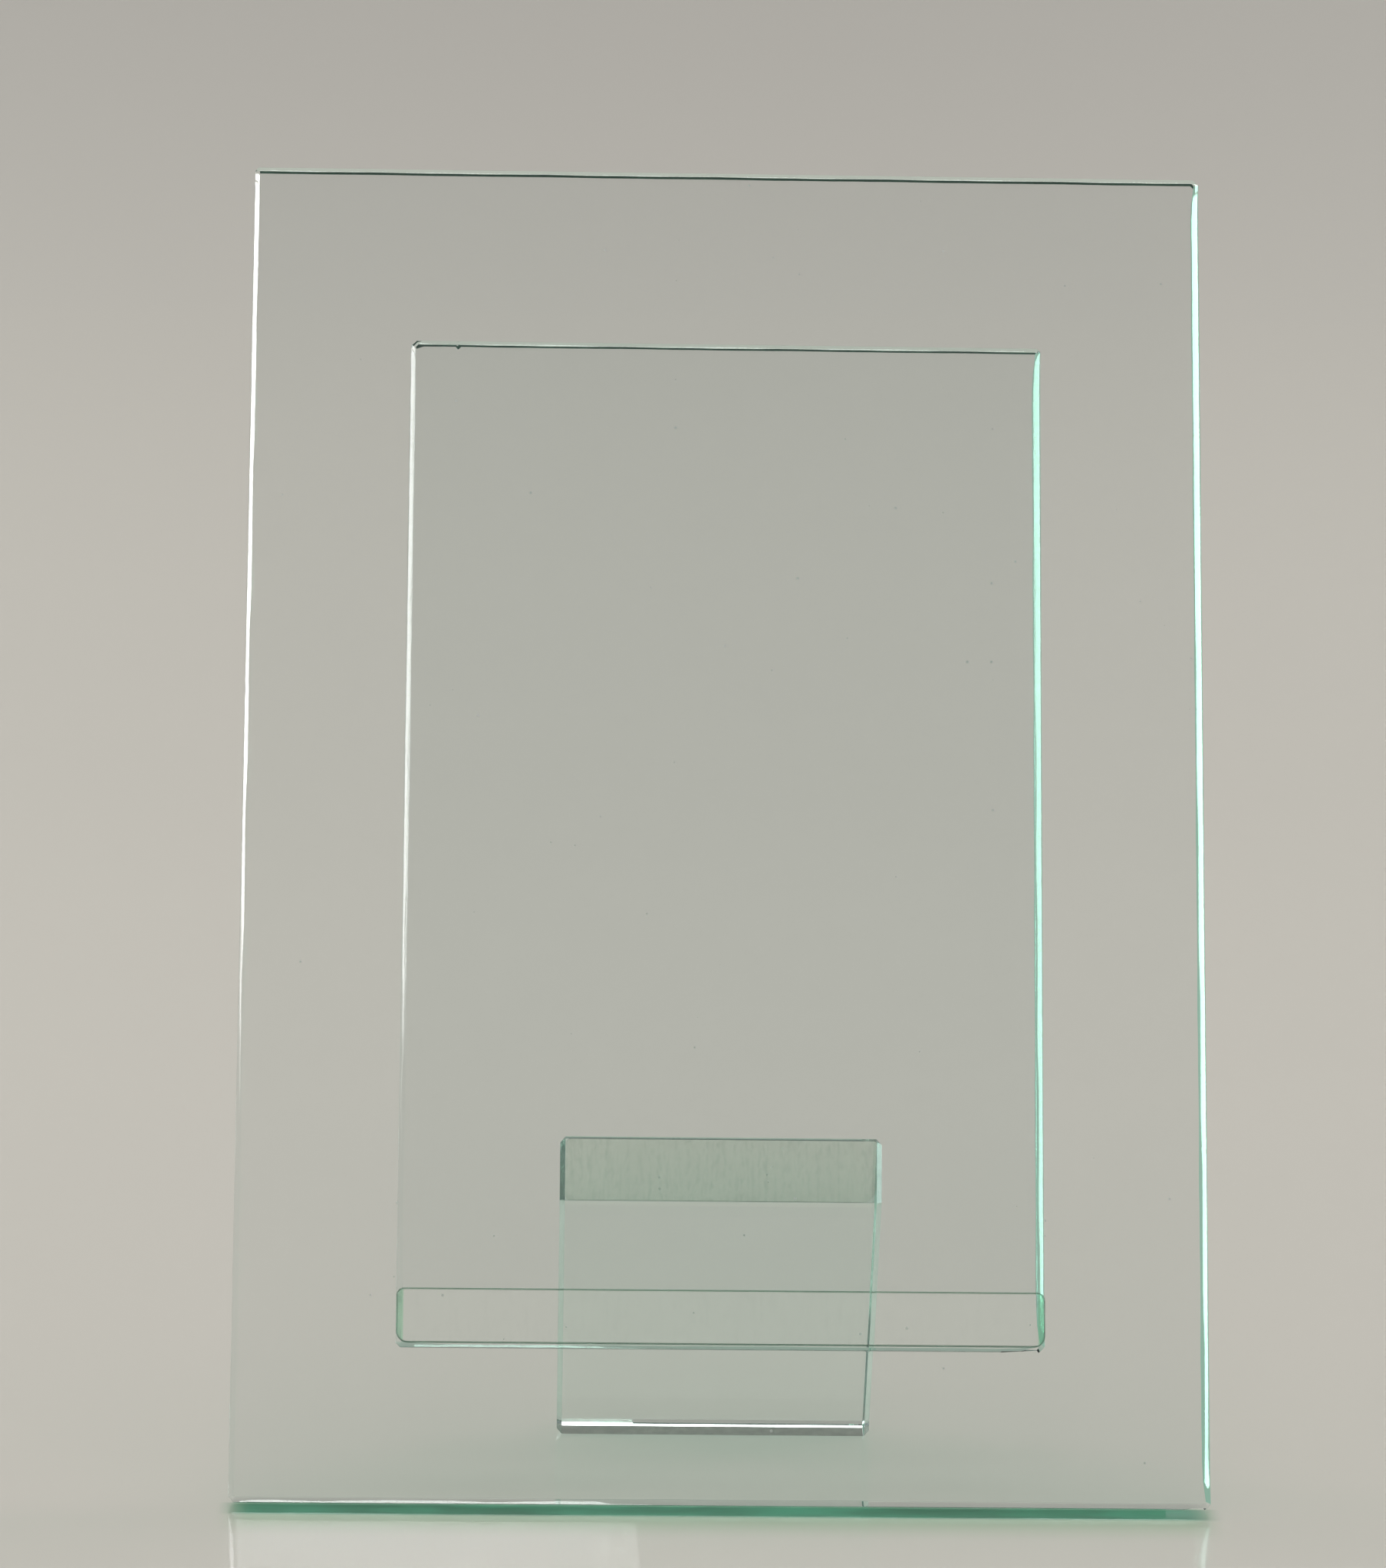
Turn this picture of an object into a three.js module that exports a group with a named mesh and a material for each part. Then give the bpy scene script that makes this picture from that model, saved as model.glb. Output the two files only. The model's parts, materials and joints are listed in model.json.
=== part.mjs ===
// Free-standing glass photo stand: a large pane that leans back, a smaller pane bonded behind it so
// that a print slides in between from above, and a thick bevelled glass foot bonded behind both.
// Millimetres, +Z up. +X is the stand's right seen from the front, and the print faces -Y.
import * as THREE from 'three';

// Driving dimensions, in millimetres and degrees.
const FRONT_WIDTH = 150;
const FRONT_HEIGHT = 210;
const BACK_WIDTH = 100;
const BACK_HEIGHT = 159;
const BACK_LOW = 24; // lower edge of the small pane, measured up the large one
const PANE_GLASS = 4;
const PANE_LEAN = 18; // from the vertical
const ARRIS = 0.8; // ground off each face along a sharp edge
const CORNER_FLAT = 1; // width of the flat ground across each corner of a pane

const TOUCH_GAP = 0.3; // left between two pieces that are bonded face to face
const STRIP_HEIGHT = 8;
const STRIP_THICKNESS = 0.4;
const FILM_THICKNESS = 0.2;

const FOOT_WIDTH = 50;
const FOOT_GLASS = 8;
const FOOT_SLOPE = 64; // from the table
const FOOT_BOND_LOW = 46.6; // lower edge of the foot's bevel, measured up the pane
const FOOT_ARRIS = 0.5; // along its front and back edges
const FOOT_SIDE_ARRIS = 0.8;
const FOOT_TIP = 1.1; // flat ground on the sharp upper edge of the bevel
const SOLE_WIDTH = 2.5; // flat ground on the foot's lowest corner, level with the table

// Derived places in the panes' own frame: Y is depth behind the front pane's back face, Z runs up
// the pane from its lower edge.
const radians = THREE.MathUtils.degToRad;
const lean = radians(PANE_LEAN);
const slot = STRIP_THICKNESS + 2 * TOUCH_GAP;
const backFace = slot + PANE_GLASS;
const bevelFace = backFace + FILM_THICKNESS + 2 * TOUCH_GAP;
const slope = radians(FOOT_SLOPE);
const footToPane = Math.PI / 2 + lean - slope;
const bevelHeight = FOOT_GLASS / Math.sin(footToPane);

const glass = () => new THREE.MeshStandardMaterial({
  color: 0xb9cfc4,
  roughness: 0.05,
  metalness: 0,
  transparent: true,
  opacity: 0.35,
});
const adhesive = () => new THREE.MeshStandardMaterial({
  color: 0xd4dcd2,
  roughness: 0.15,
  metalness: 0,
  transparent: true,
  opacity: 0.35,
});

/** Replaces every corner of a closed outline by a flat of the width given, square to the corner. */
function cutCorners(corners, widths) {
  return corners.flatMap((corner, i) => {
    const before = corners.at(i - 1).clone().sub(corner);
    const after = corners[(i + 1) % corners.length].clone().sub(corner);
    const cut = widths[i] / 2 / Math.sin(before.angleTo(after) / 2);
    return [before, after].map((side) => corner.clone().add(side.setLength(cut)));
  });
}

/** A flat plate: an outline in the XY plane, centred on Z = 0, with an arris along every edge. */
function plate(outline, thickness, arris) {
  const geometry = new THREE.ExtrudeGeometry(new THREE.Shape(outline), {
    depth: thickness - 2 * arris,
    bevelThickness: arris,
    bevelSize: arris,
    bevelOffset: -arris,
    bevelSegments: 1,
  });
  return geometry.translate(0, 0, arris - thickness / 2);
}

function rectangle(width, height) {
  return [[-1, -1], [1, -1], [1, 1], [-1, 1]]
    .map(([x, y]) => new THREE.Vector2(x * width / 2, y * height / 2));
}

function piece(name, geometry, material) {
  const mesh = new THREE.Mesh(geometry, material);
  mesh.name = name;
  return mesh;
}

/** A pane standing on edge, with its front face at the depth given and its lower edge at a height. */
function pane(name, width, height, depth, low) {
  const outline = cutCorners(rectangle(width, height), Array(4).fill(CORNER_FLAT));
  const mesh = piece(name, plate(outline, PANE_GLASS, ARRIS), glass());
  mesh.rotation.x = Math.PI / 2;
  mesh.position.set(0, depth + PANE_GLASS / 2, low + height / 2);
  return mesh;
}

/** A layer of clear adhesive parallel to the panes, its front at the depth given. */
function layer(name, width, height, thickness, depth, low) {
  const mesh = piece(name, new THREE.BoxGeometry(width, thickness, height), adhesive());
  mesh.position.set(0, depth + thickness / 2, low + height / 2);
  return mesh;
}

/** The foot, in the panes' frame: its side outline pushed across the stand's width. */
function footPlate(groundDrop) {
  // Unit vectors of the side view, as (depth, height): down the plate and straight through it.
  const down = new THREE.Vector2(Math.sin(footToPane), -Math.cos(footToPane));
  const through = new THREE.Vector2(Math.cos(footToPane), Math.sin(footToPane));
  const bevelLow = new THREE.Vector2(bevelFace, FOOT_BOND_LOW);
  const bevelHigh = new THREE.Vector2(bevelFace, FOOT_BOND_LOW + bevelHeight);

  // The table is the line where a height up the pane times cos(lean), less a depth times sin(lean),
  // equals groundDrop. The plate's lowest corner would reach below it, and the sole cuts that off.
  const bevelLowHeight = bevelLow.y * Math.cos(lean) - bevelLow.x * Math.sin(lean) - groundDrop;
  const cutDown = SOLE_WIDTH * Math.cos(slope);
  const cutThrough = SOLE_WIDTH * Math.sin(slope);
  const length = bevelLowHeight / Math.sin(slope) + cutDown;
  const soleFront = bevelLow.clone().addScaledVector(down, length);
  const soleBack = soleFront.clone().addScaledVector(through, FOOT_GLASS);

  const flat = FOOT_ARRIS * Math.SQRT2;
  const outline = cutCorners([bevelLow, soleFront, soleBack, bevelHigh], [flat, flat, flat, FOOT_TIP]);
  outline.splice(2, 2,
    soleFront.clone().addScaledVector(down, -cutDown),
    soleFront.clone().addScaledVector(through, cutThrough));
  const mesh = piece('foot_plate', plate(outline, FOOT_WIDTH, FOOT_SIDE_ARRIS), glass());
  // The outline's X and Y become depth and height, and the plate's thickness lies along X.
  mesh.matrixAutoUpdate = false;
  mesh.matrix.makeBasis(
    new THREE.Vector3(0, 1, 0),
    new THREE.Vector3(0, 0, 1),
    new THREE.Vector3(1, 0, 0),
  );
  return mesh;
}

// The front pane stands on the lower rim of its back arris, which sets how far the leaning frame
// drops to bring that rim down to the table.
const groundDrop = ARRIS * Math.sin(lean);

const leaning = new THREE.Group();
leaning.rotation.x = -lean;
leaning.position.z = -groundDrop;
leaning.add(
  pane('front_pane', FRONT_WIDTH, FRONT_HEIGHT, -PANE_GLASS, 0),
  pane('back_pane', BACK_WIDTH, BACK_HEIGHT, slot, BACK_LOW),
  layer('pane_bond_strip', BACK_WIDTH - 2 * ARRIS, STRIP_HEIGHT, STRIP_THICKNESS,
    TOUCH_GAP, BACK_LOW + ARRIS),
  layer('foot_bond_film', FOOT_WIDTH - 2 * FOOT_SIDE_ARRIS, bevelHeight - FOOT_ARRIS - 2 * FOOT_TIP,
    FILM_THICKNESS, backFace + TOUCH_GAP, FOOT_BOND_LOW + FOOT_ARRIS),
  footPlate(groundDrop),
);

// The origin is on the table, in the middle of the stand's footprint.
const stand = new THREE.Group();
stand.add(leaning);
stand.updateMatrixWorld(true);
const box = new THREE.Box3().setFromObject(stand, true);
stand.position.y = -(box.min.y + box.max.y) / 2;
stand.updateMatrixWorld(true);

export default stand;
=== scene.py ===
import json
from math import atan2, cos, pi, radians, sin

import bmesh
import bpy
from mathutils import Matrix, Vector


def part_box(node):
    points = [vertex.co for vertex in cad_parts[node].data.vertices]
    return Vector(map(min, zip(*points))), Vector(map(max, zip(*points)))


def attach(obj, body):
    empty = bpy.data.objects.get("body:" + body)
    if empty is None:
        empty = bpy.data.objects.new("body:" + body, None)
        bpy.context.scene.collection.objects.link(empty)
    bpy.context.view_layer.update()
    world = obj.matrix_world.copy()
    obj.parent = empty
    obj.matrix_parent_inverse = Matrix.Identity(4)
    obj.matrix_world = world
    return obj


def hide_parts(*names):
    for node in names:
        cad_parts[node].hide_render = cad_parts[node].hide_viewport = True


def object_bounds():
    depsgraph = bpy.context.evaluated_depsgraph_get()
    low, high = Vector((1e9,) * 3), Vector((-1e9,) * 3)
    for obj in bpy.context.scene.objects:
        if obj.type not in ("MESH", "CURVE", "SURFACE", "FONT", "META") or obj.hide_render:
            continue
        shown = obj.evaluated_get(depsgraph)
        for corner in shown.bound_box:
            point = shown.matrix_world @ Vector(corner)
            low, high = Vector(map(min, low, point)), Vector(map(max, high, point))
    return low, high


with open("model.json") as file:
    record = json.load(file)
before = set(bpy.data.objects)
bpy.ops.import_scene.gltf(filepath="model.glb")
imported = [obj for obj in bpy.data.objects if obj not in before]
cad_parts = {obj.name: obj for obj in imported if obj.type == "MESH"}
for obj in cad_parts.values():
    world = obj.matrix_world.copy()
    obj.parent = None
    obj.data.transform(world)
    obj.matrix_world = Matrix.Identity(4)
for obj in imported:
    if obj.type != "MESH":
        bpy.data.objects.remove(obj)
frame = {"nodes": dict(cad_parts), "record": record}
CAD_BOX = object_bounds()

MM = 0.001
NODES = frame["nodes"]

# ---------------------------------------------------------------- the leaning frame
# The panes lean back about the X axis. In their own frame Y is depth and Z runs up the pane.
front_axis = next(m for m in frame["record"]["mounts"] if m["name"] == "front_face")["axis"]
LEAN = atan2(front_axis[2], -front_axis[1])
TO_ROW = Matrix.Rotation(-LEAN, 4, "X")
TO_PANE = TO_ROW.inverted()


def pane_box(name):
    """A CAD node's lowest and highest corners in the panes' own frame."""
    points = [TO_PANE @ v.co for v in NODES[name].data.vertices]
    return tuple(Vector(f(p[i] for p in points) for i in range(3)) for f in (min, max))


# ---------------------------------------------------------------- mesh helpers
def refined(name, round_edge, segments):
    """A bmesh of a CAD node in the panes' frame: flat faces merged and every edge rounded off."""
    source = NODES[name].data
    bm = bmesh.new()
    for attribute in ("bonded", "ground", "edge"):
        bm.faces.layers.float.new(attribute)
    verts = [bm.verts.new(TO_PANE @ v.co) for v in source.vertices]
    for p in source.polygons:
        try:
            bm.faces.new([verts[i] for i in p.vertices])
        except ValueError:  # a face that the mesh holds twice
            pass
    bmesh.ops.remove_doubles(bm, verts=bm.verts, dist=0.002 * MM)
    bmesh.ops.dissolve_limit(bm, angle_limit=radians(1), verts=bm.verts, edges=bm.edges)
    bmesh.ops.bevel(
        bm, geom=list(bm.edges), offset=round_edge, offset_type="OFFSET", segments=segments,
        profile=0.5, affect="EDGES", clamp_overlap=True,
    )
    bmesh.ops.recalc_face_normals(bm, faces=bm.faces)
    return bm


def wave(t, seed, terms=5):
    """A smooth wobble along an edge, between about -1 and 1, that is the same on each run."""
    total = 0.0
    for k in range(1, terms + 1):
        total += sin(t * k * 2.1 + seed * (1.7 + k) + k * k) / k
    return total / 2.0


# An edge's section as (inset, depth) pairs in millimetres from the front face to the back: a wide
# arris in front, the flat edge, and a narrower, steeper arris behind, each blended into the next.
SECTION = (
    (0.88, 0.00), (0.82, 0.015), (0.76, 0.06), (0.16, 0.66), (0.07, 0.76), (0.02, 0.86), (0.00, 1.00),
    (0.00, 2.80), (0.015, 3.00), (0.05, 3.12), (0.42, 3.88), (0.47, 3.96), (0.53, 4.00),
)
FRONT_POINTS = 7  # how many of the section's points are in front of the flat edge's rear end
REAR_START = SECTION[FRONT_POINTS][1]  # where the rear arris starts
SECTION_DEPTH = SECTION[-1][1]
FRONT_ARRIS_DEPTH = 0.93  # faces centred in front of this belong to the front arris

# For the right, top, left and bottom side: how much painted green edge light the front arris and the
# rest of the edge get, and how many times the section's width the front arris is. Above 1 the painted
# green turns to painted shade.
EDGE_GREEN = ((1.0, 1.1), (0.35, 1.85), (0.05, 1.5), (0.12, 1.2))
ARRIS_WIDTH = (1.65, 1.0, 1.1, 1.0)

# In millimetres, but for the shares.
EDGE_STEP = 3.0  # between two sections along an edge
CORNER_MITRE = 0.414  # how much an inset shortens a side at a 45 degree corner, as a share of it
CORNER_TAPER = 4  # over which a side's wobble and extra width die away towards a corner
WOBBLE_SHARE = 0.07  # of the inset
WOBBLE_LENGTH = 9
# A chip's outline: where along its width, and how much of its depth is gone there.
NICK_OUTLINE = ((-0.5, 0), (-0.2, 0.7), (0.05, 1), (0.3, 0.45), (0.5, 0))
NICK_CLEARANCE = 0.6  # of its width, kept clear of the edge's own sections on both sides


def pane_solid(lo, hi, corner, seed, nicks=(), green=EDGE_GREEN, widths=ARRIS_WIDTH):
    """A pane whose edges and corners were ground by hand, in the panes' frame.

    The sides run up the right, along the top to the left, down the left and along the bottom. Corner
    is how far each corner's flat is cut back along its two sides, from the lower right one on. A
    nick is a chip in a side's rear arris: the side, how far along it, its width and its depth.
    """
    bm = bmesh.new()
    for name in ("bonded", "ground", "edge"):
        bm.faces.layers.float.new(name)
    edge_flag = bm.faces.layers.float["edge"]
    cx, cz = (lo.x + hi.x) / 2, (lo.z + hi.z) / 2
    hx, hz = (hi.x - lo.x) / 2, (hi.z - lo.z) / 2
    sides = []
    for sx, sz, ax, az in ((1, -1, 0, 1), (1, 1, -1, 0), (-1, 1, 0, -1), (-1, -1, 1, 0)):
        sides.append((Vector((sx * hx, 0, sz * hz)), Vector((ax, 0, az))))
    rings = []
    for j, (inset, depth) in enumerate(SECTION):
        ring = []
        for i, (start, along) in enumerate(sides):
            outward = Vector((along.z, 0, -along.x))
            end = sides[(i + 1) % 4][0]
            length = (end - start).length
            near = corner[i] * MM + inset * MM * CORNER_MITRE
            far = corner[(i + 1) % 4] * MM + inset * MM * CORNER_MITRE
            count = max(2, round((length - near - far) / (EDGE_STEP * MM)))
            # How deep a chip is at each place along the side.
            stops = {near + (length - near - far) * k / count: 0.0 for k in range(count + 1)}
            for place, width, deep in (nick[1:] for nick in nicks if nick[0] == i):
                clear = width * NICK_CLEARANCE
                stops = {t: d for t, d in stops.items() if abs(t / MM - place) > clear}
                for share, part_of in NICK_OUTLINE:
                    stops[(place + share * width) * MM] = part_of * deep
            for t in sorted(stops):
                to_corner = min(t - near, length - far - t) / (CORNER_TAPER * MM)
                taper = max(0, min(1, to_corner))
                in_front = j < FRONT_POINTS
                wobble = wave(t / MM / WOBBLE_LENGTH, seed + i + (0 if in_front else FRONT_POINTS))
                drift = WOBBLE_SHARE * wobble * taper
                own_depth, chip = depth, 0
                if in_front:
                    drift += (widths[i] - 1) * taper
                    own_depth *= 1 + (widths[i] - 1) * taper
                else:
                    chip = stops[t] * (depth - REAR_START) / (SECTION_DEPTH - REAR_START)
                point = start + along * t - outward * (inset * (1 + drift) + chip) * MM
                point.y = lo.y + own_depth / SECTION_DEPTH * (hi.y - lo.y)
                ring.append(point)
        rings.append([bm.verts.new((cx + q.x, q.y, cz + q.z)) for q in ring])
    n = len(rings[0])
    for a, b in zip(rings, rings[1:]):
        for i in range(n):
            f = bm.faces.new((a[i - 1], a[i], b[i], b[i - 1]))
            f.smooth = True
    front, rear = bm.faces.new(rings[0]), bm.faces.new(rings[-1])
    bmesh.ops.recalc_face_normals(bm, faces=bm.faces)
    for e in list(front.edges) + list(rear.edges):
        e.smooth = False
    # Each edge face takes its side's share of painted green edge light, which turns to painted shade
    # above 1.
    for f in bm.faces:
        if f not in (front, rear):
            q = f.calc_center_median()
            beyond = ((q.x - cx) / hx, (q.z - cz) / hz, (cx - q.x) / hx, (cz - q.z) / hz)
            side = beyond.index(max(beyond))
            behind = q.y - lo.y > FRONT_ARRIS_DEPTH * MM * widths[side]
            f[edge_flag] = green[side][1 if behind else 0]
    return bm


def widest(bm, direction):
    """The widest flat face that looks along a direction."""
    d = Vector(direction)
    return max((f for f in bm.faces if f.normal.dot(d) > 0.999), key=lambda f: f.calc_area())


def coupled(bm, cap, loop):
    """Cuts the outline of a bond into a flat face and flags what lies inside it as bonded."""
    flag = bm.faces.layers.float["bonded"]
    cap_edges = list(cap.edges)
    normal = cap.normal.copy()
    bmesh.ops.delete(bm, geom=[cap], context="FACES_ONLY")
    verts = [bm.verts.new(p) for p in loop]
    ring = [bm.edges.new((verts[i - 1], verts[i])) for i in range(len(verts))]
    bmesh.ops.triangle_fill(bm, use_beauty=True, edges=cap_edges + ring, normal=normal)
    inside = bm.faces.new(verts)
    bmesh.ops.recalc_face_normals(bm, faces=bm.faces)
    inside[flag] = 1.0


def placed(name, bm, material):
    """Puts a bmesh in the scene as an object of its own."""
    mesh = bpy.data.meshes.new(name)
    bm.to_mesh(mesh)
    bm.free()
    mesh.materials.append(material)
    o = bpy.data.objects.new(name, mesh)
    bpy.context.scene.collection.objects.link(o)
    return o


def finished(name, bm, material, body="root"):
    """Turns a bmesh in the panes' frame into a piece in the row frame that rides on a body."""
    bmesh.ops.transform(bm, matrix=TO_ROW, verts=bm.verts)
    piece = placed(name, bm, material)
    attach(piece, body)
    return piece


# ---------------------------------------------------------------- materials
class Graph:
    """Short-hand for a material's nodes."""

    def __init__(self, name):
        self.material = bpy.data.materials.new(name)
        self.material.use_nodes = True
        self.nodes, self.links = self.material.node_tree.nodes, self.material.node_tree.links
        self.nodes.clear()

    def link(self, source, socket):
        if isinstance(source, bpy.types.NodeSocket):
            self.links.new(source, socket)
        else:
            socket.default_value = source

    def maths(self, operation, *values):
        node = self.nodes.new("ShaderNodeMath")
        node.operation = operation
        for value, socket in zip(values, node.inputs):
            self.link(value, socket)
        return node.outputs[0]

    def ramp(self, value, low, high, to_low, to_high):
        node = self.nodes.new("ShaderNodeMapRange")
        node.interpolation_type = "SMOOTHSTEP"
        for name, v in zip(("Value", "From Min", "From Max", "To Min", "To Max"),
                           (value, low, high, to_low, to_high)):
            self.link(v, node.inputs[name])
        return node.outputs["Result"]

    def place(self, stretch=(1, 1, 1), turn=(0, 0, 0)):
        """Object coordinates, stretched and then turned."""
        where = self.nodes.new("ShaderNodeTexCoord")
        mapping = self.nodes.new("ShaderNodeMapping")
        mapping.vector_type = "POINT"
        mapping.inputs["Scale"].default_value = stretch
        mapping.inputs["Rotation"].default_value = turn
        self.links.new(where.outputs["Object"], mapping.inputs["Vector"])
        return mapping.outputs[0]

    def split(self, vector):
        node = self.nodes.new("ShaderNodeSeparateXYZ")
        self.links.new(vector, node.inputs[0])
        return node.outputs

    def noise(self, vector, scale, detail, roughness):
        node = self.nodes.new("ShaderNodeTexNoise")
        self.links.new(vector, node.inputs["Vector"])
        node.inputs["Scale"].default_value = scale
        node.inputs["Detail"].default_value = detail
        node.inputs["Roughness"].default_value = roughness
        return node.outputs["Fac"]

    def cells(self, vector, scale):
        """Distance to the nearest point of a scatter, and two random values of that point's own."""
        node = self.nodes.new("ShaderNodeTexVoronoi")
        self.links.new(vector, node.inputs["Vector"])
        node.inputs["Scale"].default_value = scale
        split = self.nodes.new("ShaderNodeSeparateColor")
        self.links.new(node.outputs["Color"], split.inputs[0])
        return node.outputs["Distance"], split.outputs[0], split.outputs[1]

    def attribute(self, name):
        node = self.nodes.new("ShaderNodeAttribute")
        node.attribute_name = name
        return node.outputs["Fac"]

    def blend(self, factor, first, second):
        """A colour between two others."""
        node = self.nodes.new("ShaderNodeMix")
        node.data_type = "RGBA"
        self.link(factor, node.inputs["Factor"])
        self.link(first, next(i for i in node.inputs if i.name == "A" and i.type == "RGBA"))
        self.link(second, next(i for i in node.inputs if i.name == "B" and i.type == "RGBA"))
        return next(o for o in node.outputs if o.type == "RGBA")

    def bump(self, height, strength, distance):
        node = self.nodes.new("ShaderNodeBump")
        node.inputs["Strength"].default_value = strength
        node.inputs["Distance"].default_value = distance
        self.links.new(height, node.inputs["Height"])
        return node.outputs[0]

    def shader(self, kind, **values):
        node = self.nodes.new(kind)
        for name, value in values.items():
            self.link(value, node.inputs[name.replace("_", " ")])
        return node

    def mixed(self, factor, first, second):
        node = self.nodes.new("ShaderNodeMixShader")
        self.link(factor, node.inputs[0])
        self.links.new(first, node.inputs[1])
        self.links.new(second, node.inputs[2])
        return node.outputs[0]

    def lit_through(self, surface):
        """Lets the studio's light straight through, in place of the caustics of real glass."""
        path = self.nodes.new("ShaderNodeLightPath")
        straight = self.maths(
            "MAXIMUM", path.outputs["Is Shadow Ray"], path.outputs["Is Diffuse Ray"]
        )
        open_to_lamps = self.shader("ShaderNodeBsdfTransparent", Color=LAMP_TINT)
        return self.mixed(straight, surface, open_to_lamps.outputs[0])

    def output(self, surface):
        out = self.nodes.new("ShaderNodeOutputMaterial")
        self.links.new(surface, out.inputs["Surface"])
        return out

    def finish(self, surface, tint, density):
        """Gives a solid its surface and the light that it absorbs."""
        out = self.output(surface)
        volume = self.nodes.new("ShaderNodeVolumeAbsorption")
        volume.inputs["Color"].default_value = (*tint, 1)
        volume.inputs["Density"].default_value = density
        self.links.new(volume.outputs[0], out.inputs["Volume"])
        return self.material


# The glass absorbs density x (1 - tint) per metre: 8.9, 3.3 and 5.1 of red, green and blue. These
# are typical of slightly green float glass, not measured.
FLOAT_TINT = (0.11, 0.67, 0.49)
FLOAT_DENSITY = 10.0
LAMP_TINT = (0.93, 0.96, 0.945, 1)  # of the light that a face lets straight through
# Painted light and shade on the edges: a green glow, and a dark shade where an edge looks deep.
EDGE_LIGHT_PAINT = (0.32, 0.85, 0.67, 1)  # of an edge attribute of 1
EDGE_SHADE_PAINT = (0.02, 0.075, 0.055, 1)  # where an edge shows the dark inside of the sheet
DEEP_START, DEEP_FULL, DEEP_SHARE = 1.0, 1.85, 0.9  # edge attributes, and the share at the second

MATT_SHARE = 0.93  # of a ground face that scatters light, and the rest is glass
GROUND_DARK, GROUND_PALE = (0.125, 0.11, 0.098, 1), (0.305, 0.275, 0.24, 1)
DUST = (0.80, 0.82, 0.78, 1)
DUST_SHARE = 0.55


def glass_material(name):
    """Float glass: clear faces with a trace of handling and dust, grey ground edges, and painted green
    light and shade along the edges.
    """
    g = Graph(name)
    row = g.place()
    # Handling: broad films and a few finger-wide smudges that only dull the gloss.
    film = g.noise(row, 11, 3, 0.55)
    smudge = g.ramp(g.noise(row, 38, 4, 0.6), 0.62, 0.74, 0.0, 1.0)
    dulled = g.maths("MULTIPLY", smudge, g.ramp(film, 0.5, 0.66, 0.0, 0.028))
    hairline = g.noise(g.place((1, 1, 0.012), (0.0, 0.9, 0.35)), 1500, 1, 0.4)
    hairline = g.maths("MULTIPLY", g.ramp(hairline, 0.80, 0.84, 0.0, 0.05), smudge)
    polished = g.maths("ADD", dulled, hairline)
    # The ground faces keep the fine pits of the wheel.
    ground = g.attribute("ground")
    pits = g.noise(row, 5200, 2, 0.6)
    mottle = g.noise(row, 650, 3, 0.6)
    milled = g.ramp(mottle, 0.3, 0.7, 0.30, 0.48)
    rough = g.maths("ADD", polished, g.maths("MULTIPLY", milled, ground))
    relief = g.maths("MULTIPLY", pits, ground)
    # Painted light and shade: the deep green that an edge takes on from light run along the length of
    # the sheet, and dark where it shows the inside of the sheet; it tints the edge's reflections too.
    edge = g.attribute("edge")
    edge_painted = g.blend(edge, (1, 1, 1, 1), EDGE_LIGHT_PAINT)
    deep = g.ramp(edge, DEEP_START, DEEP_FULL, 0.0, DEEP_SHARE)
    edge_painted = g.blend(deep, edge_painted, EDGE_SHADE_PAINT)
    glass = g.shader(
        "ShaderNodeBsdfPrincipled", Base_Color=edge_painted, Specular_Tint=edge_painted,
        Transmission_Weight=1.0, IOR=1.52, Roughness=rough, Normal=g.bump(relief, 1.0, 0.00002),
    )
    # Dust: pale specks that have settled here and there.
    near, pick, size = g.cells(row, 260)
    dot = g.maths("LESS_THAN", near, g.maths("MULTIPLY_ADD", size, 0.045, 0.018))
    speck = g.maths("MULTIPLY", dot, g.maths("GREATER_THAN", pick, 0.88))
    # The opaque part of the surface: dust, ground glass and the painted shade of the deep edges.
    matt = g.blend(ground, DUST, g.blend(mottle, GROUND_DARK, GROUND_PALE))
    opaque = g.shader("ShaderNodeBsdfDiffuse", Color=g.blend(deep, matt, EDGE_SHADE_PAINT))
    dust_veil = g.maths("MULTIPLY", speck, DUST_SHARE)
    veil = g.maths("MAXIMUM", dust_veil, g.maths("MULTIPLY", ground, MATT_SHARE))
    veil = g.maths("MAXIMUM", veil, deep)
    dusty = g.mixed(veil, glass.outputs[0], opaque.outputs[0])
    clear = g.shader("ShaderNodeBsdfTransparent")
    surface = g.mixed(g.attribute("bonded"), dusty, clear.outputs[0])
    return g.finish(g.lit_through(surface), FLOAT_TINT, FLOAT_DENSITY)


ADHESIVE_TINT = (0.7, 0.75, 0.7)
ADHESIVE_DENSITY = 4.0
RIM_GREEN = (0.62, 0.9, 0.78, 1)
RIM_TINGE = (0.80, 0.93, 0.86, 1)
# Painted green edge light for the adhesive's end beads.
BEAD_EDGE_LIGHT = (0.84, 0.985, 0.90, 1)
STREAK_MILK = (0.62, 0.70, 0.64, 1)
CLEAR_RIM_SHARE = 0.62  # of a rim that lets light straight through


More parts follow.
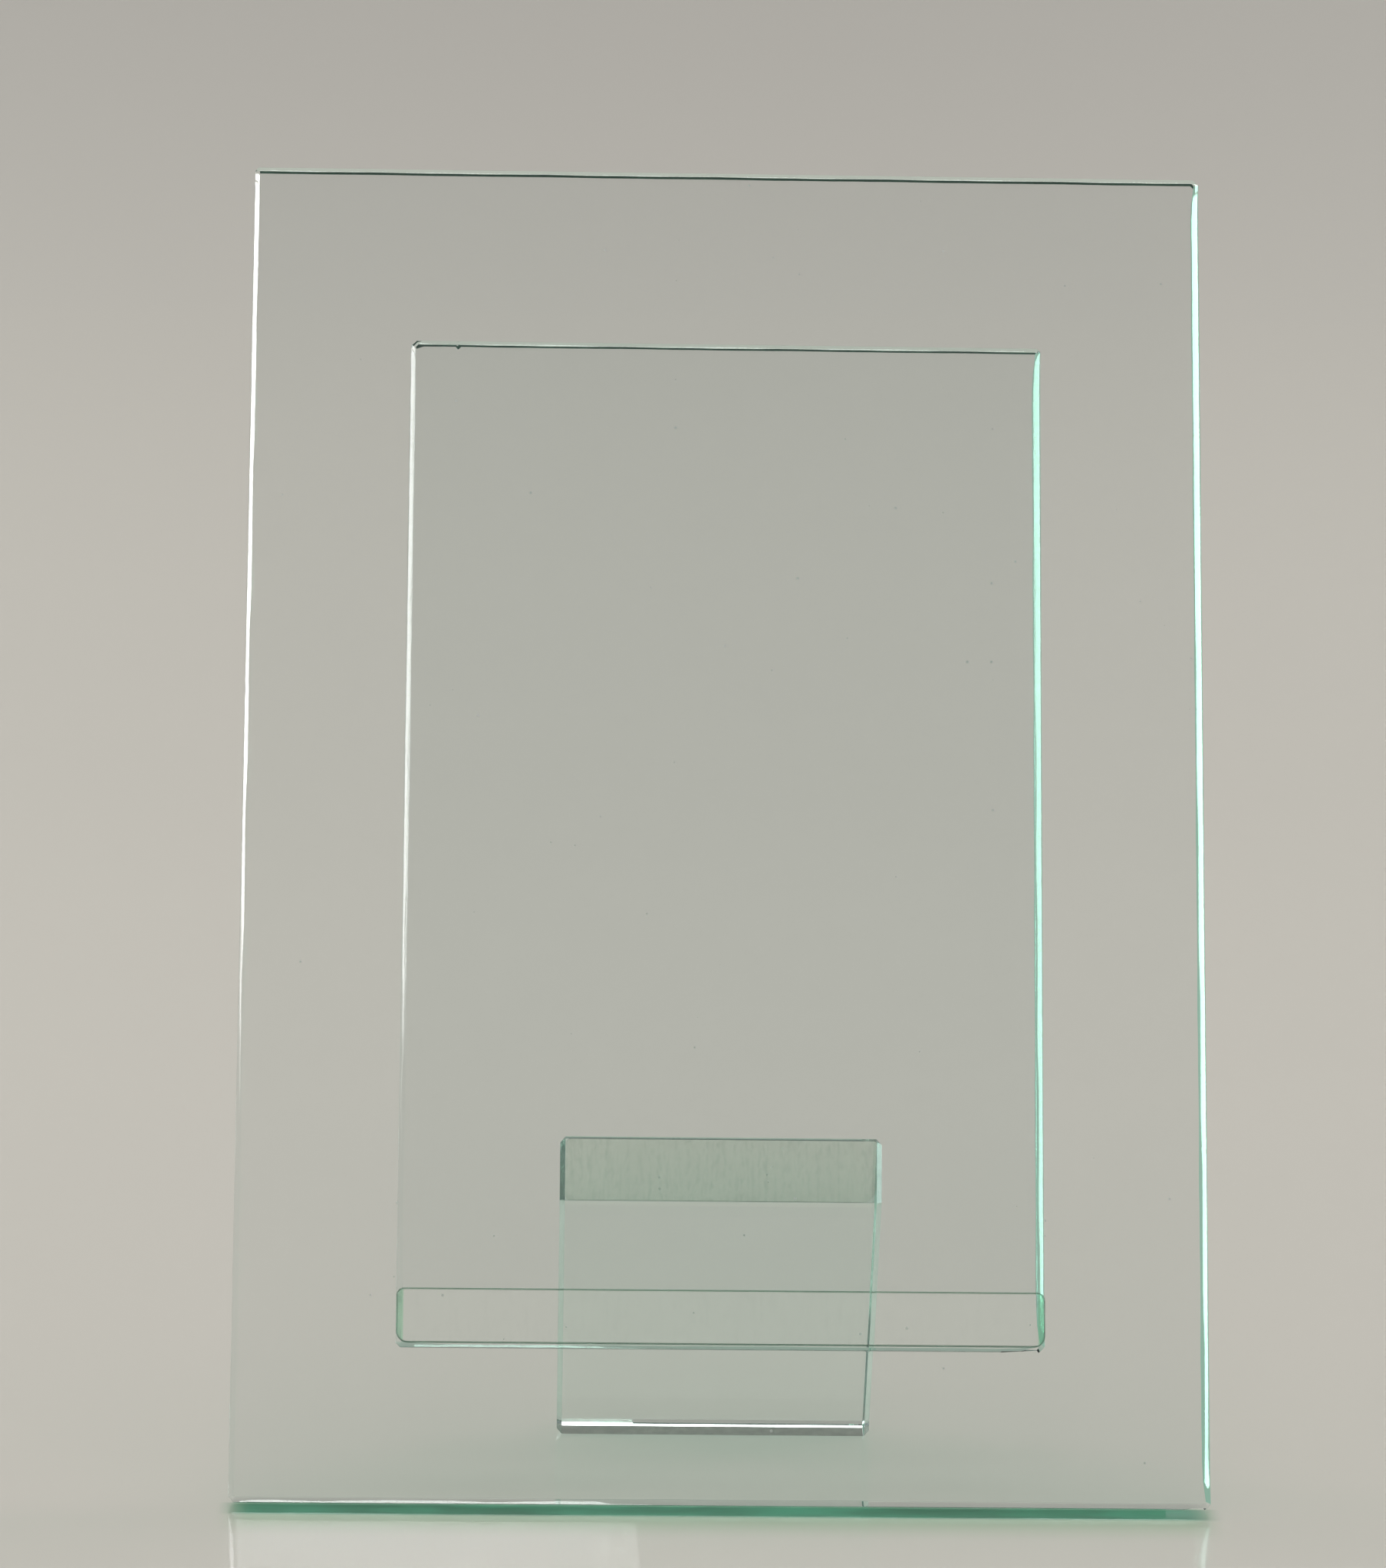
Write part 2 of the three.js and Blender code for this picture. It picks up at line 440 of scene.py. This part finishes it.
def adhesive_material(name, wetted_tint, streak):
    """Cured clear adhesive: faint streaks where it was drawn out, and a few pinhead bubbles."""
    g = Graph(name)
    row = g.place()
    streaks = g.noise(g.place((1, 1, 0.06)), 1500, 2, 0.5)
    near, pick, size = g.cells(row, 420)
    bubble = g.maths("MULTIPLY", g.maths("LESS_THAN", near, 0.10), g.maths("GREATER_THAN", pick, 0.96))
    rim = g.shader(
        "ShaderNodeBsdfPrincipled", Base_Color=RIM_GREEN, Transmission_Weight=1.0,
        IOR=1.5, Roughness=g.ramp(streaks, 0.35, 0.65, 0.0, 0.12),
    )
    # A bonded face lets light straight through, but for what the streaks and bubbles scatter.
    haze = g.maths("ADD", g.ramp(streaks, 0.5, 0.72, 0.0, streak), g.maths("MULTIPLY", bubble, 0.35))
    milky = g.shader("ShaderNodeBsdfDiffuse", Color=STREAK_MILK)
    clear = g.shader("ShaderNodeBsdfTransparent", Color=(*wetted_tint, 1))
    tinged = g.shader("ShaderNodeBsdfTransparent", Color=RIM_TINGE)
    wetted = g.mixed(haze, clear.outputs[0], milky.outputs[0])
    # The bead at each end is painted with the green of the pane's edge light.
    bead = g.shader("ShaderNodeBsdfTransparent", Color=BEAD_EDGE_LIGHT)
    wetted = g.mixed(g.attribute("bead"), wetted, bead.outputs[0])
    soft_rim = g.mixed(CLEAR_RIM_SHARE, rim.outputs[0], tinged.outputs[0])
    surface = g.mixed(g.attribute("bonded"), soft_rim, wetted)
    return g.finish(g.lit_through(surface), ADHESIVE_TINT, ADHESIVE_DENSITY)


pane_glass = glass_material("pane_glass")
foot_glass = glass_material("foot_glass")
strip_adhesive = adhesive_material("strip_adhesive", (1.0, 1.0, 1.0), 0.015)
film_adhesive = adhesive_material("film_adhesive", (0.935, 0.93, 0.915), 0.07)

# ---------------------------------------------------------------- bonds between the pieces
front_lo, front_hi = pane_box("front_pane")
back_lo, back_hi = pane_box("back_pane")
strip_lo, strip_hi = pane_box("pane_bond_strip")
WETTING = 0.008 * MM  # what is left between an adhesive's face and the glass that it wets


def rounded_loop(x0, x1, z0, z1, radii, steps=6):
    """A rectangle with round corners at depth 0, anticlockwise from the lower left one."""
    points = []
    for (cx, cz, start), r in zip(
        ((x0, z0, pi), (x1, z0, 1.5 * pi), (x1, z1, 0), (x0, z1, 0.5 * pi)), radii
    ):
        ox, oz = (r if cx == x0 else -r), (r if cz == z0 else -r)
        for k in range(steps + 1):
            a = start + k / steps * pi / 2
            points.append(Vector((cx + ox + r * cos(a), 0, cz + oz + r * sin(a))))
    return points


def at_depth(loop, y):
    return [Vector((p.x, y, p.z)) for p in loop]


def adhesive_layer(loop, y0, y1, bulge, beads=0.0, rows=6):
    """Adhesive between two parallel faces, its rim bulging out or drawn in halfway between them.

    Beads is how wide the flagged bead at its left and right ends is.
    """
    bm = bmesh.new()
    for attribute in ("bonded", "bead"):
        bm.faces.layers.float.new(attribute)
    flag = bm.faces.layers.float["bonded"]
    n = len(loop)
    centre = sum(loop, Vector()) / n
    rings = []
    for k in range(rows + 1):
        t = k / rows
        out = bulge * 4 * t * (1 - t)
        ring = []
        for i, p in enumerate(loop):
            along = loop[(i + 1) % n] - loop[i - 1]
            side = Vector((along.z, 0, -along.x)).normalized()
            if side.dot(p - centre) < 0:
                side.negate()
            q = p + side * out
            ring.append(bm.verts.new((q.x, y0 + t * (y1 - y0), q.z)))
        rings.append(ring)
    for a, b in zip(rings, rings[1:]):
        for i in range(n):
            f = bm.faces.new((a[i - 1], a[i], b[i], b[i - 1]))
            f.smooth = True
    bead_flag = bm.faces.layers.float["bead"]
    caps = [bm.faces.new(ring) for ring in (rings[0], rings[-1])]
    for cap in caps:
        cap[flag] = 1.0
    bmesh.ops.recalc_face_normals(bm, faces=bm.faces)
    if beads:
        lo_x, hi_x = min(p.x for p in loop), max(p.x for p in loop)
        for x in (lo_x + beads, hi_x - beads):
            flat = [f for f in bm.faces if f[flag]]
            parts = flat + list({e for f in flat for e in f.edges} | {v for f in flat for v in f.verts})
            bmesh.ops.bisect_plane(bm, geom=parts, plane_co=(x, 0, 0), plane_no=(1, 0, 0))
        for f in bm.faces:
            if f[flag] and not lo_x + beads < f.calc_center_median().x < hi_x - beads:
                f[bead_flag] = 1.0
    return bm


# The strip was pressed out to the small pane's own edges, where it sets in a soft bead.
STRIP_BEAD = 0.5 * MM
strip_loop = rounded_loop(
    strip_lo.x - STRIP_BEAD, strip_hi.x + STRIP_BEAD, strip_lo.z, strip_hi.z,
    [1.6 * MM, 1.6 * MM, 1.0 * MM, 1.0 * MM],
)

# Front pane
bm = pane_solid(front_lo, front_hi, (0.75, 0.9, 0.6, 0.8), 3)
coupled(bm, widest(bm, (0, 1, 0)), at_depth(strip_loop, front_hi.y))
front_pane = finished("front_pane_glass", bm, pane_glass)
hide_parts("front_pane")

# Foot, whose bevel is bonded nearly to the edges of its flat face
FOOT_ROUNDING = 0.12 * MM
END_AREA = 60 * MM ** 2  # the rounded edges are smaller, and the foot's end and sole are larger
POLISHED_SHARE = 0.28  # of the end, along its upper edge
# How much painted green edge light, and how much ground frost, the foot's sides get.
FOOT_SIDE_GREEN = 0.45
FOOT_SIDE_GROUND = 0.16

bm = refined("foot_plate", FOOT_ROUNDING, 4)
bevel = widest(bm, (0, -1, 0))
ground_flag = bm.faces.layers.float["ground"]
# The foot's end and its sole were left as the wheel ground them, but for a polished strip along
# the end's upper edge.
for f in list(bm.faces):
    outward = TO_ROW.to_3x3() @ f.normal
    looks_down = abs(outward.x) <= 0.01 and outward.y >= -0.1 and outward.z <= -0.5
    if not looks_down or f.calc_area() < END_AREA:
        continue
    f[ground_flag] = 1.0
    if outward.y > 0.2:  # the end, not the sole
        across = outward.cross(Vector((1, 0, 0)))
        across = TO_PANE.to_3x3() @ (across if across.z > 0 else -across)
        reach = [v.co.dot(across) for v in f.verts]
        cut = max(reach) - POLISHED_SHARE * (max(reach) - min(reach))
        bmesh.ops.bisect_plane(
            bm, geom=[f] + list(f.edges) + list(f.verts), plane_co=across * cut, plane_no=across,
        )
        for half in bm.faces:
            if half[ground_flag] and half.calc_center_median().dot(across) > cut:
                half[ground_flag] = 0.0
bevel_y = bevel.verts[0].co.y
bevel_x = [v.co.x for v in bevel.verts]
bevel_z = [v.co.z for v in bevel.verts]
FILM_INSET = 0.05 * MM
film_loop = rounded_loop(
    min(bevel_x) + FILM_INSET, max(bevel_x) - FILM_INSET,
    min(bevel_z) + FILM_INSET, max(bevel_z) - FILM_INSET,
    [0.5 * MM, 2.3 * MM, 0.3 * MM, 0.9 * MM],
)
coupled(bm, bevel, at_depth(film_loop, bevel_y))
# The foot's sides and their arrises take some painted green edge light.
edge_flag = bm.faces.layers.float["edge"]
for f in bm.faces:
    if abs(f.normal.x) > 0.3:  # the sides and their arrises
        f[edge_flag] = FOOT_SIDE_GREEN
        f[ground_flag] = max(f[ground_flag], FOOT_SIDE_GROUND)
foot_plate = finished("foot_plate_glass", bm, foot_glass)
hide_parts("foot_plate")

# Back pane
# The back pane's lower edge gets its own painted green edge light, without painted shade, and a
# narrower front arris.
bm = pane_solid(
    back_lo, back_hi, (0.8, 0.6, 0.9, 0.7), 11, nicks=((1, 92.5, 0.9, 0.45),),
    green=EDGE_GREEN[:3] + ((0.6, 0.8),), widths=ARRIS_WIDTH[:3] + (0.5,),
)
coupled(bm, widest(bm, (0, -1, 0)), at_depth(strip_loop, back_lo.y))
coupled(bm, widest(bm, (0, 1, 0)), at_depth(film_loop, back_hi.y))
back_pane = finished("back_pane_glass", bm, pane_glass)
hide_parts("back_pane")

# Adhesives
bm = adhesive_layer(
    strip_loop, front_hi.y + WETTING, back_lo.y - WETTING, 0.25 * MM, beads=0.85 * MM
)
strip = finished("pane_bond_strip_clear", bm, strip_adhesive)
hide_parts("pane_bond_strip")

bm = adhesive_layer(film_loop, back_hi.y + WETTING, bevel_y - WETTING, 0.0)
film = finished("foot_bond_film_clear", bm, film_adhesive)
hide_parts("foot_bond_film")

# ---------------------------------------------------------------- floor and backdrop
# The flat floor, in metres, and the curve z = RISE * t^3 that goes on from it over a depth t.
FLOOR_FRONT, FLOOR_BACK, FLOOR_HALF_WIDTH = -1.6, 0.30, 2.2
BACKDROP_DEPTH, BACKDROP_RISE, BACKDROP_STEPS = 1.75, 0.26, 60
FLOOR_DROP = 0.02 * MM  # keeps the floor clear of the faces that stand on it
FLOOR_PAINT = (0.66, 0.63, 0.56, 1)
# Painted shade: the darker colour that the sweep turns to up the backdrop, reached in full at
# BACKDROP_FULL.
BACKDROP_SHADE_PAINT = (0.54, 0.515, 0.465, 1)
BACKDROP_FULL = 0.26  # height where the backdrop's own paint is reached

# The large pane's green light on the table, by the distance in metres in front of its lowest edge.
LIGHT_FADE_IN = (-3.5 * MM, -2.5 * MM)
RIM_LIGHT_FADE_OUT = (2.2 * MM, 3.8 * MM)
GLOW_FADE_OUT = (1 * MM, 16 * MM)
LIGHT_INSIDE, LIGHT_OUTSIDE = 4 * MM, 2 * MM  # where it ends on either side of the pane's corners
GLOW_PAINT = (0.41, 0.53, 0.36, 1)
RIM_DARK, RIM_BRIGHT = (0.115, 0.25, 0.17, 1), (0.135, 0.39, 0.255, 1)


def sweep():
    """A floor that turns up behind the stand into a backdrop in one smooth curve."""
    bm = bmesh.new()
    profile = [Vector((0, FLOOR_FRONT, 0))]
    for k in range(BACKDROP_STEPS + 1):
        t = BACKDROP_DEPTH * k / BACKDROP_STEPS
        profile.append(Vector((0, FLOOR_BACK + t, BACKDROP_RISE * t ** 3)))
    rows = [
        [bm.verts.new(p + Vector((x, 0, -FLOOR_DROP))) for p in profile]
        for x in (-FLOOR_HALF_WIDTH, FLOOR_HALF_WIDTH)
    ]
    for i in range(len(profile) - 1):
        bm.faces.new((rows[0][i], rows[1][i], rows[1][i + 1], rows[0][i + 1])).smooth = True

    g = Graph("sweep")
    row = g.split(g.place())
    # In the photo, light that has run down inside the large pane leaves by its lower edge and falls
    # green on the table in front: a thin bright line and a soft glow. Both are painted here.
    low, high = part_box("front_pane")
    ahead = g.maths("SUBTRACT", low[1], row["Y"])
    corner_start, corner_end = high[0] - LIGHT_INSIDE, high[0] + LIGHT_OUTSIDE
    within = g.ramp(g.maths("ABSOLUTE", row["X"]), corner_start, corner_end, 1.0, 0.0)

    def in_front(fade_out):
        share = g.maths("MULTIPLY", g.ramp(ahead, *fade_out, 1.0, 0.0), within)
        return g.maths("MULTIPLY", share, g.ramp(ahead, *LIGHT_FADE_IN, 0.0, 1.0))

    # Painted shade: the sweep's colour darkens a little up the backdrop towards its top.
    paint = g.blend(g.ramp(row["Z"], 0.0, BACKDROP_FULL, 0.0, 1.0), FLOOR_PAINT, BACKDROP_SHADE_PAINT)
    paint = g.blend(in_front(GLOW_FADE_OUT), paint, GLOW_PAINT)
    streaky = g.ramp(g.noise(g.place((1, 3, 1)), 38, 3, 0.6), 0.35, 0.7, 0.0, 1.0)
    paint = g.blend(in_front(RIM_LIGHT_FADE_OUT), paint, g.blend(streaky, RIM_DARK, RIM_BRIGHT))
    top = g.shader(
        "ShaderNodeBsdfPrincipled", Base_Color=paint, Roughness=0.3, Specular_IOR_Level=0.3,
        Coat_Weight=0.6, Coat_Roughness=0.02,
    )
    g.output(top.outputs[0])
    placed("sweep", bm, g.material)


sweep()


# ---------------------------------------------------------------- light
# The side panels light only the glass, where they show as the bright lines along its edges. Their
# share of the light on the table comes from the fills, which are in the same places.
glass_only = bpy.data.collections.new("glass_only")
for piece in (front_pane, back_pane, foot_plate, strip, film):
    glass_only.objects.link(piece)
LEFT = ((-1.25, 0.17, 0.42), (-0.08, 0.03, 0.25))  # where a side's lights are and what they face
RIGHT = ((1.25, 0.23, 0.30), (0.08, 0.03, 0.12))
SIDE_STRENGTH = 17.0


def softbox(name, place, target, size, power):
    """A lamp that the camera doesn't see, its size in metres and its power in watts."""
    lamp = bpy.data.lights.new(name, "AREA")
    lamp.shape = "RECTANGLE"
    lamp.size, lamp.size_y = size
    lamp.energy = power
    o = bpy.data.objects.new(name, lamp)
    o.location = place
    o.rotation_euler = (Vector(target) - Vector(place)).to_track_quat("-Z", "Y").to_euler()
    o.visible_camera = False
    bpy.context.scene.collection.objects.link(o)
    return o


def glow_panel(name, place, target, size, fade):
    """A glowing panel whose light dies away over a share of its width and height."""
    g = Graph(name)
    across = g.split(g.place())
    shares = [
        g.ramp(g.maths("ABSOLUTE", across[axis]), 0.5 * (1 - share), 0.5, 1.0, 0.0)
        for axis, share in zip("XY", fade)
    ]
    strength = g.maths("MULTIPLY", g.maths("MULTIPLY", *shares), SIDE_STRENGTH)
    g.output(g.shader("ShaderNodeEmission", Strength=strength).outputs[0])

    bm = bmesh.new()
    bmesh.ops.create_grid(bm, x_segments=1, y_segments=1, size=0.5)
    o = placed(name, bm, g.material)
    o.scale = (size[0], size[1], 1)
    o.location = place
    o.rotation_euler = (Vector(place) - Vector(target)).to_track_quat("Z", "Y").to_euler()
    o.visible_camera = False
    o.light_linking.receiver_collection = glass_only


glow_panel("side_left", *LEFT, (0.34, 0.52), (0.3, 0.45))
glow_panel("side_right", *RIGHT, (0.40, 0.70), (0.3, 0.3))
for fill in (
    softbox("fill_left", *LEFT, (0.29, 0.40), 24.0),
    softbox("fill_right", *RIGHT, (0.34, 0.60), 22.0),
):
    fill.visible_glossy = False
    fill.visible_transmission = False
softbox("overhead", (0, 0.08, 1.25), (0, 0.08, 0), (1.3, 0.6), 6.2)
softbox("top_back", (0, 1.0, 2.5), (0, 0, 0.05), (1.1, 0.24), 4.0)
# Its mirror image would make a bright patch on the table.
front_key = softbox("front_key", (-0.12, -0.85, 1.05), (0, 0, 0.02), (0.26, 0.26), 2.6)
front_key.visible_glossy = False
softbox("backdrop_left", (-1.30, 0.32, 0.62), (-0.20, 0.75, 0.0), (0.5, 0.5), 13.5)
softbox("backdrop_right", (1.35, 0.55, 0.9), (0.1, 1.25, 0.1), (0.5, 0.5), 9.0)

world = bpy.data.worlds.new("studio")
world.use_nodes = True
world.node_tree.nodes["Background"].inputs["Color"].default_value = (0.165, 0.172, 0.182, 1)
world.node_tree.nodes["Background"].inputs["Strength"].default_value = 1.0
bpy.context.scene.world = world

# ---------------------------------------------------------------- camera
# Fitted to the corners of the panes and the foot.
AZIMUTH, ELEVATION, ROLL = radians(-1.538), radians(8.347), radians(-0.848)
DISTANCE = 0.8535
SENSOR = 36  # mm along the frame's long side
LENS = 125.85
CENTRE = (CAD_BOX[0] + CAD_BOX[1]) / 2
AIM = Vector((CENTRE.x, CENTRE.y, 0)) + Vector((-4.94, 0.09, 106.98)) * MM

back = Vector((sin(AZIMUTH) * cos(ELEVATION), -cos(AZIMUTH) * cos(ELEVATION), sin(ELEVATION)))
camera = bpy.data.objects.new("camera", bpy.data.cameras.new("camera"))
camera.data.sensor_width = SENSOR
camera.data.lens = LENS
camera.data.clip_start, camera.data.clip_end = 0.05, 20
camera.location = AIM + back * DISTANCE
camera.rotation_mode = "QUATERNION"
camera.rotation_quaternion = (
    Matrix.Rotation(ROLL, 3, -back) @ (-back).to_track_quat("-Z", "Y").to_matrix()
).to_quaternion()
bpy.context.scene.collection.objects.link(camera)
bpy.context.scene.camera = camera

scene = bpy.context.scene
scene.view_settings.view_transform = "Standard"
# A ray crosses many glass faces on its way through the panes, the foot and their bonds.
scene.cycles.max_bounces = 32
scene.cycles.glossy_bounces = 20
scene.cycles.transmission_bounces = 32
scene.cycles.transparent_max_bounces = 48
scene.cycles.diffuse_bounces = 4
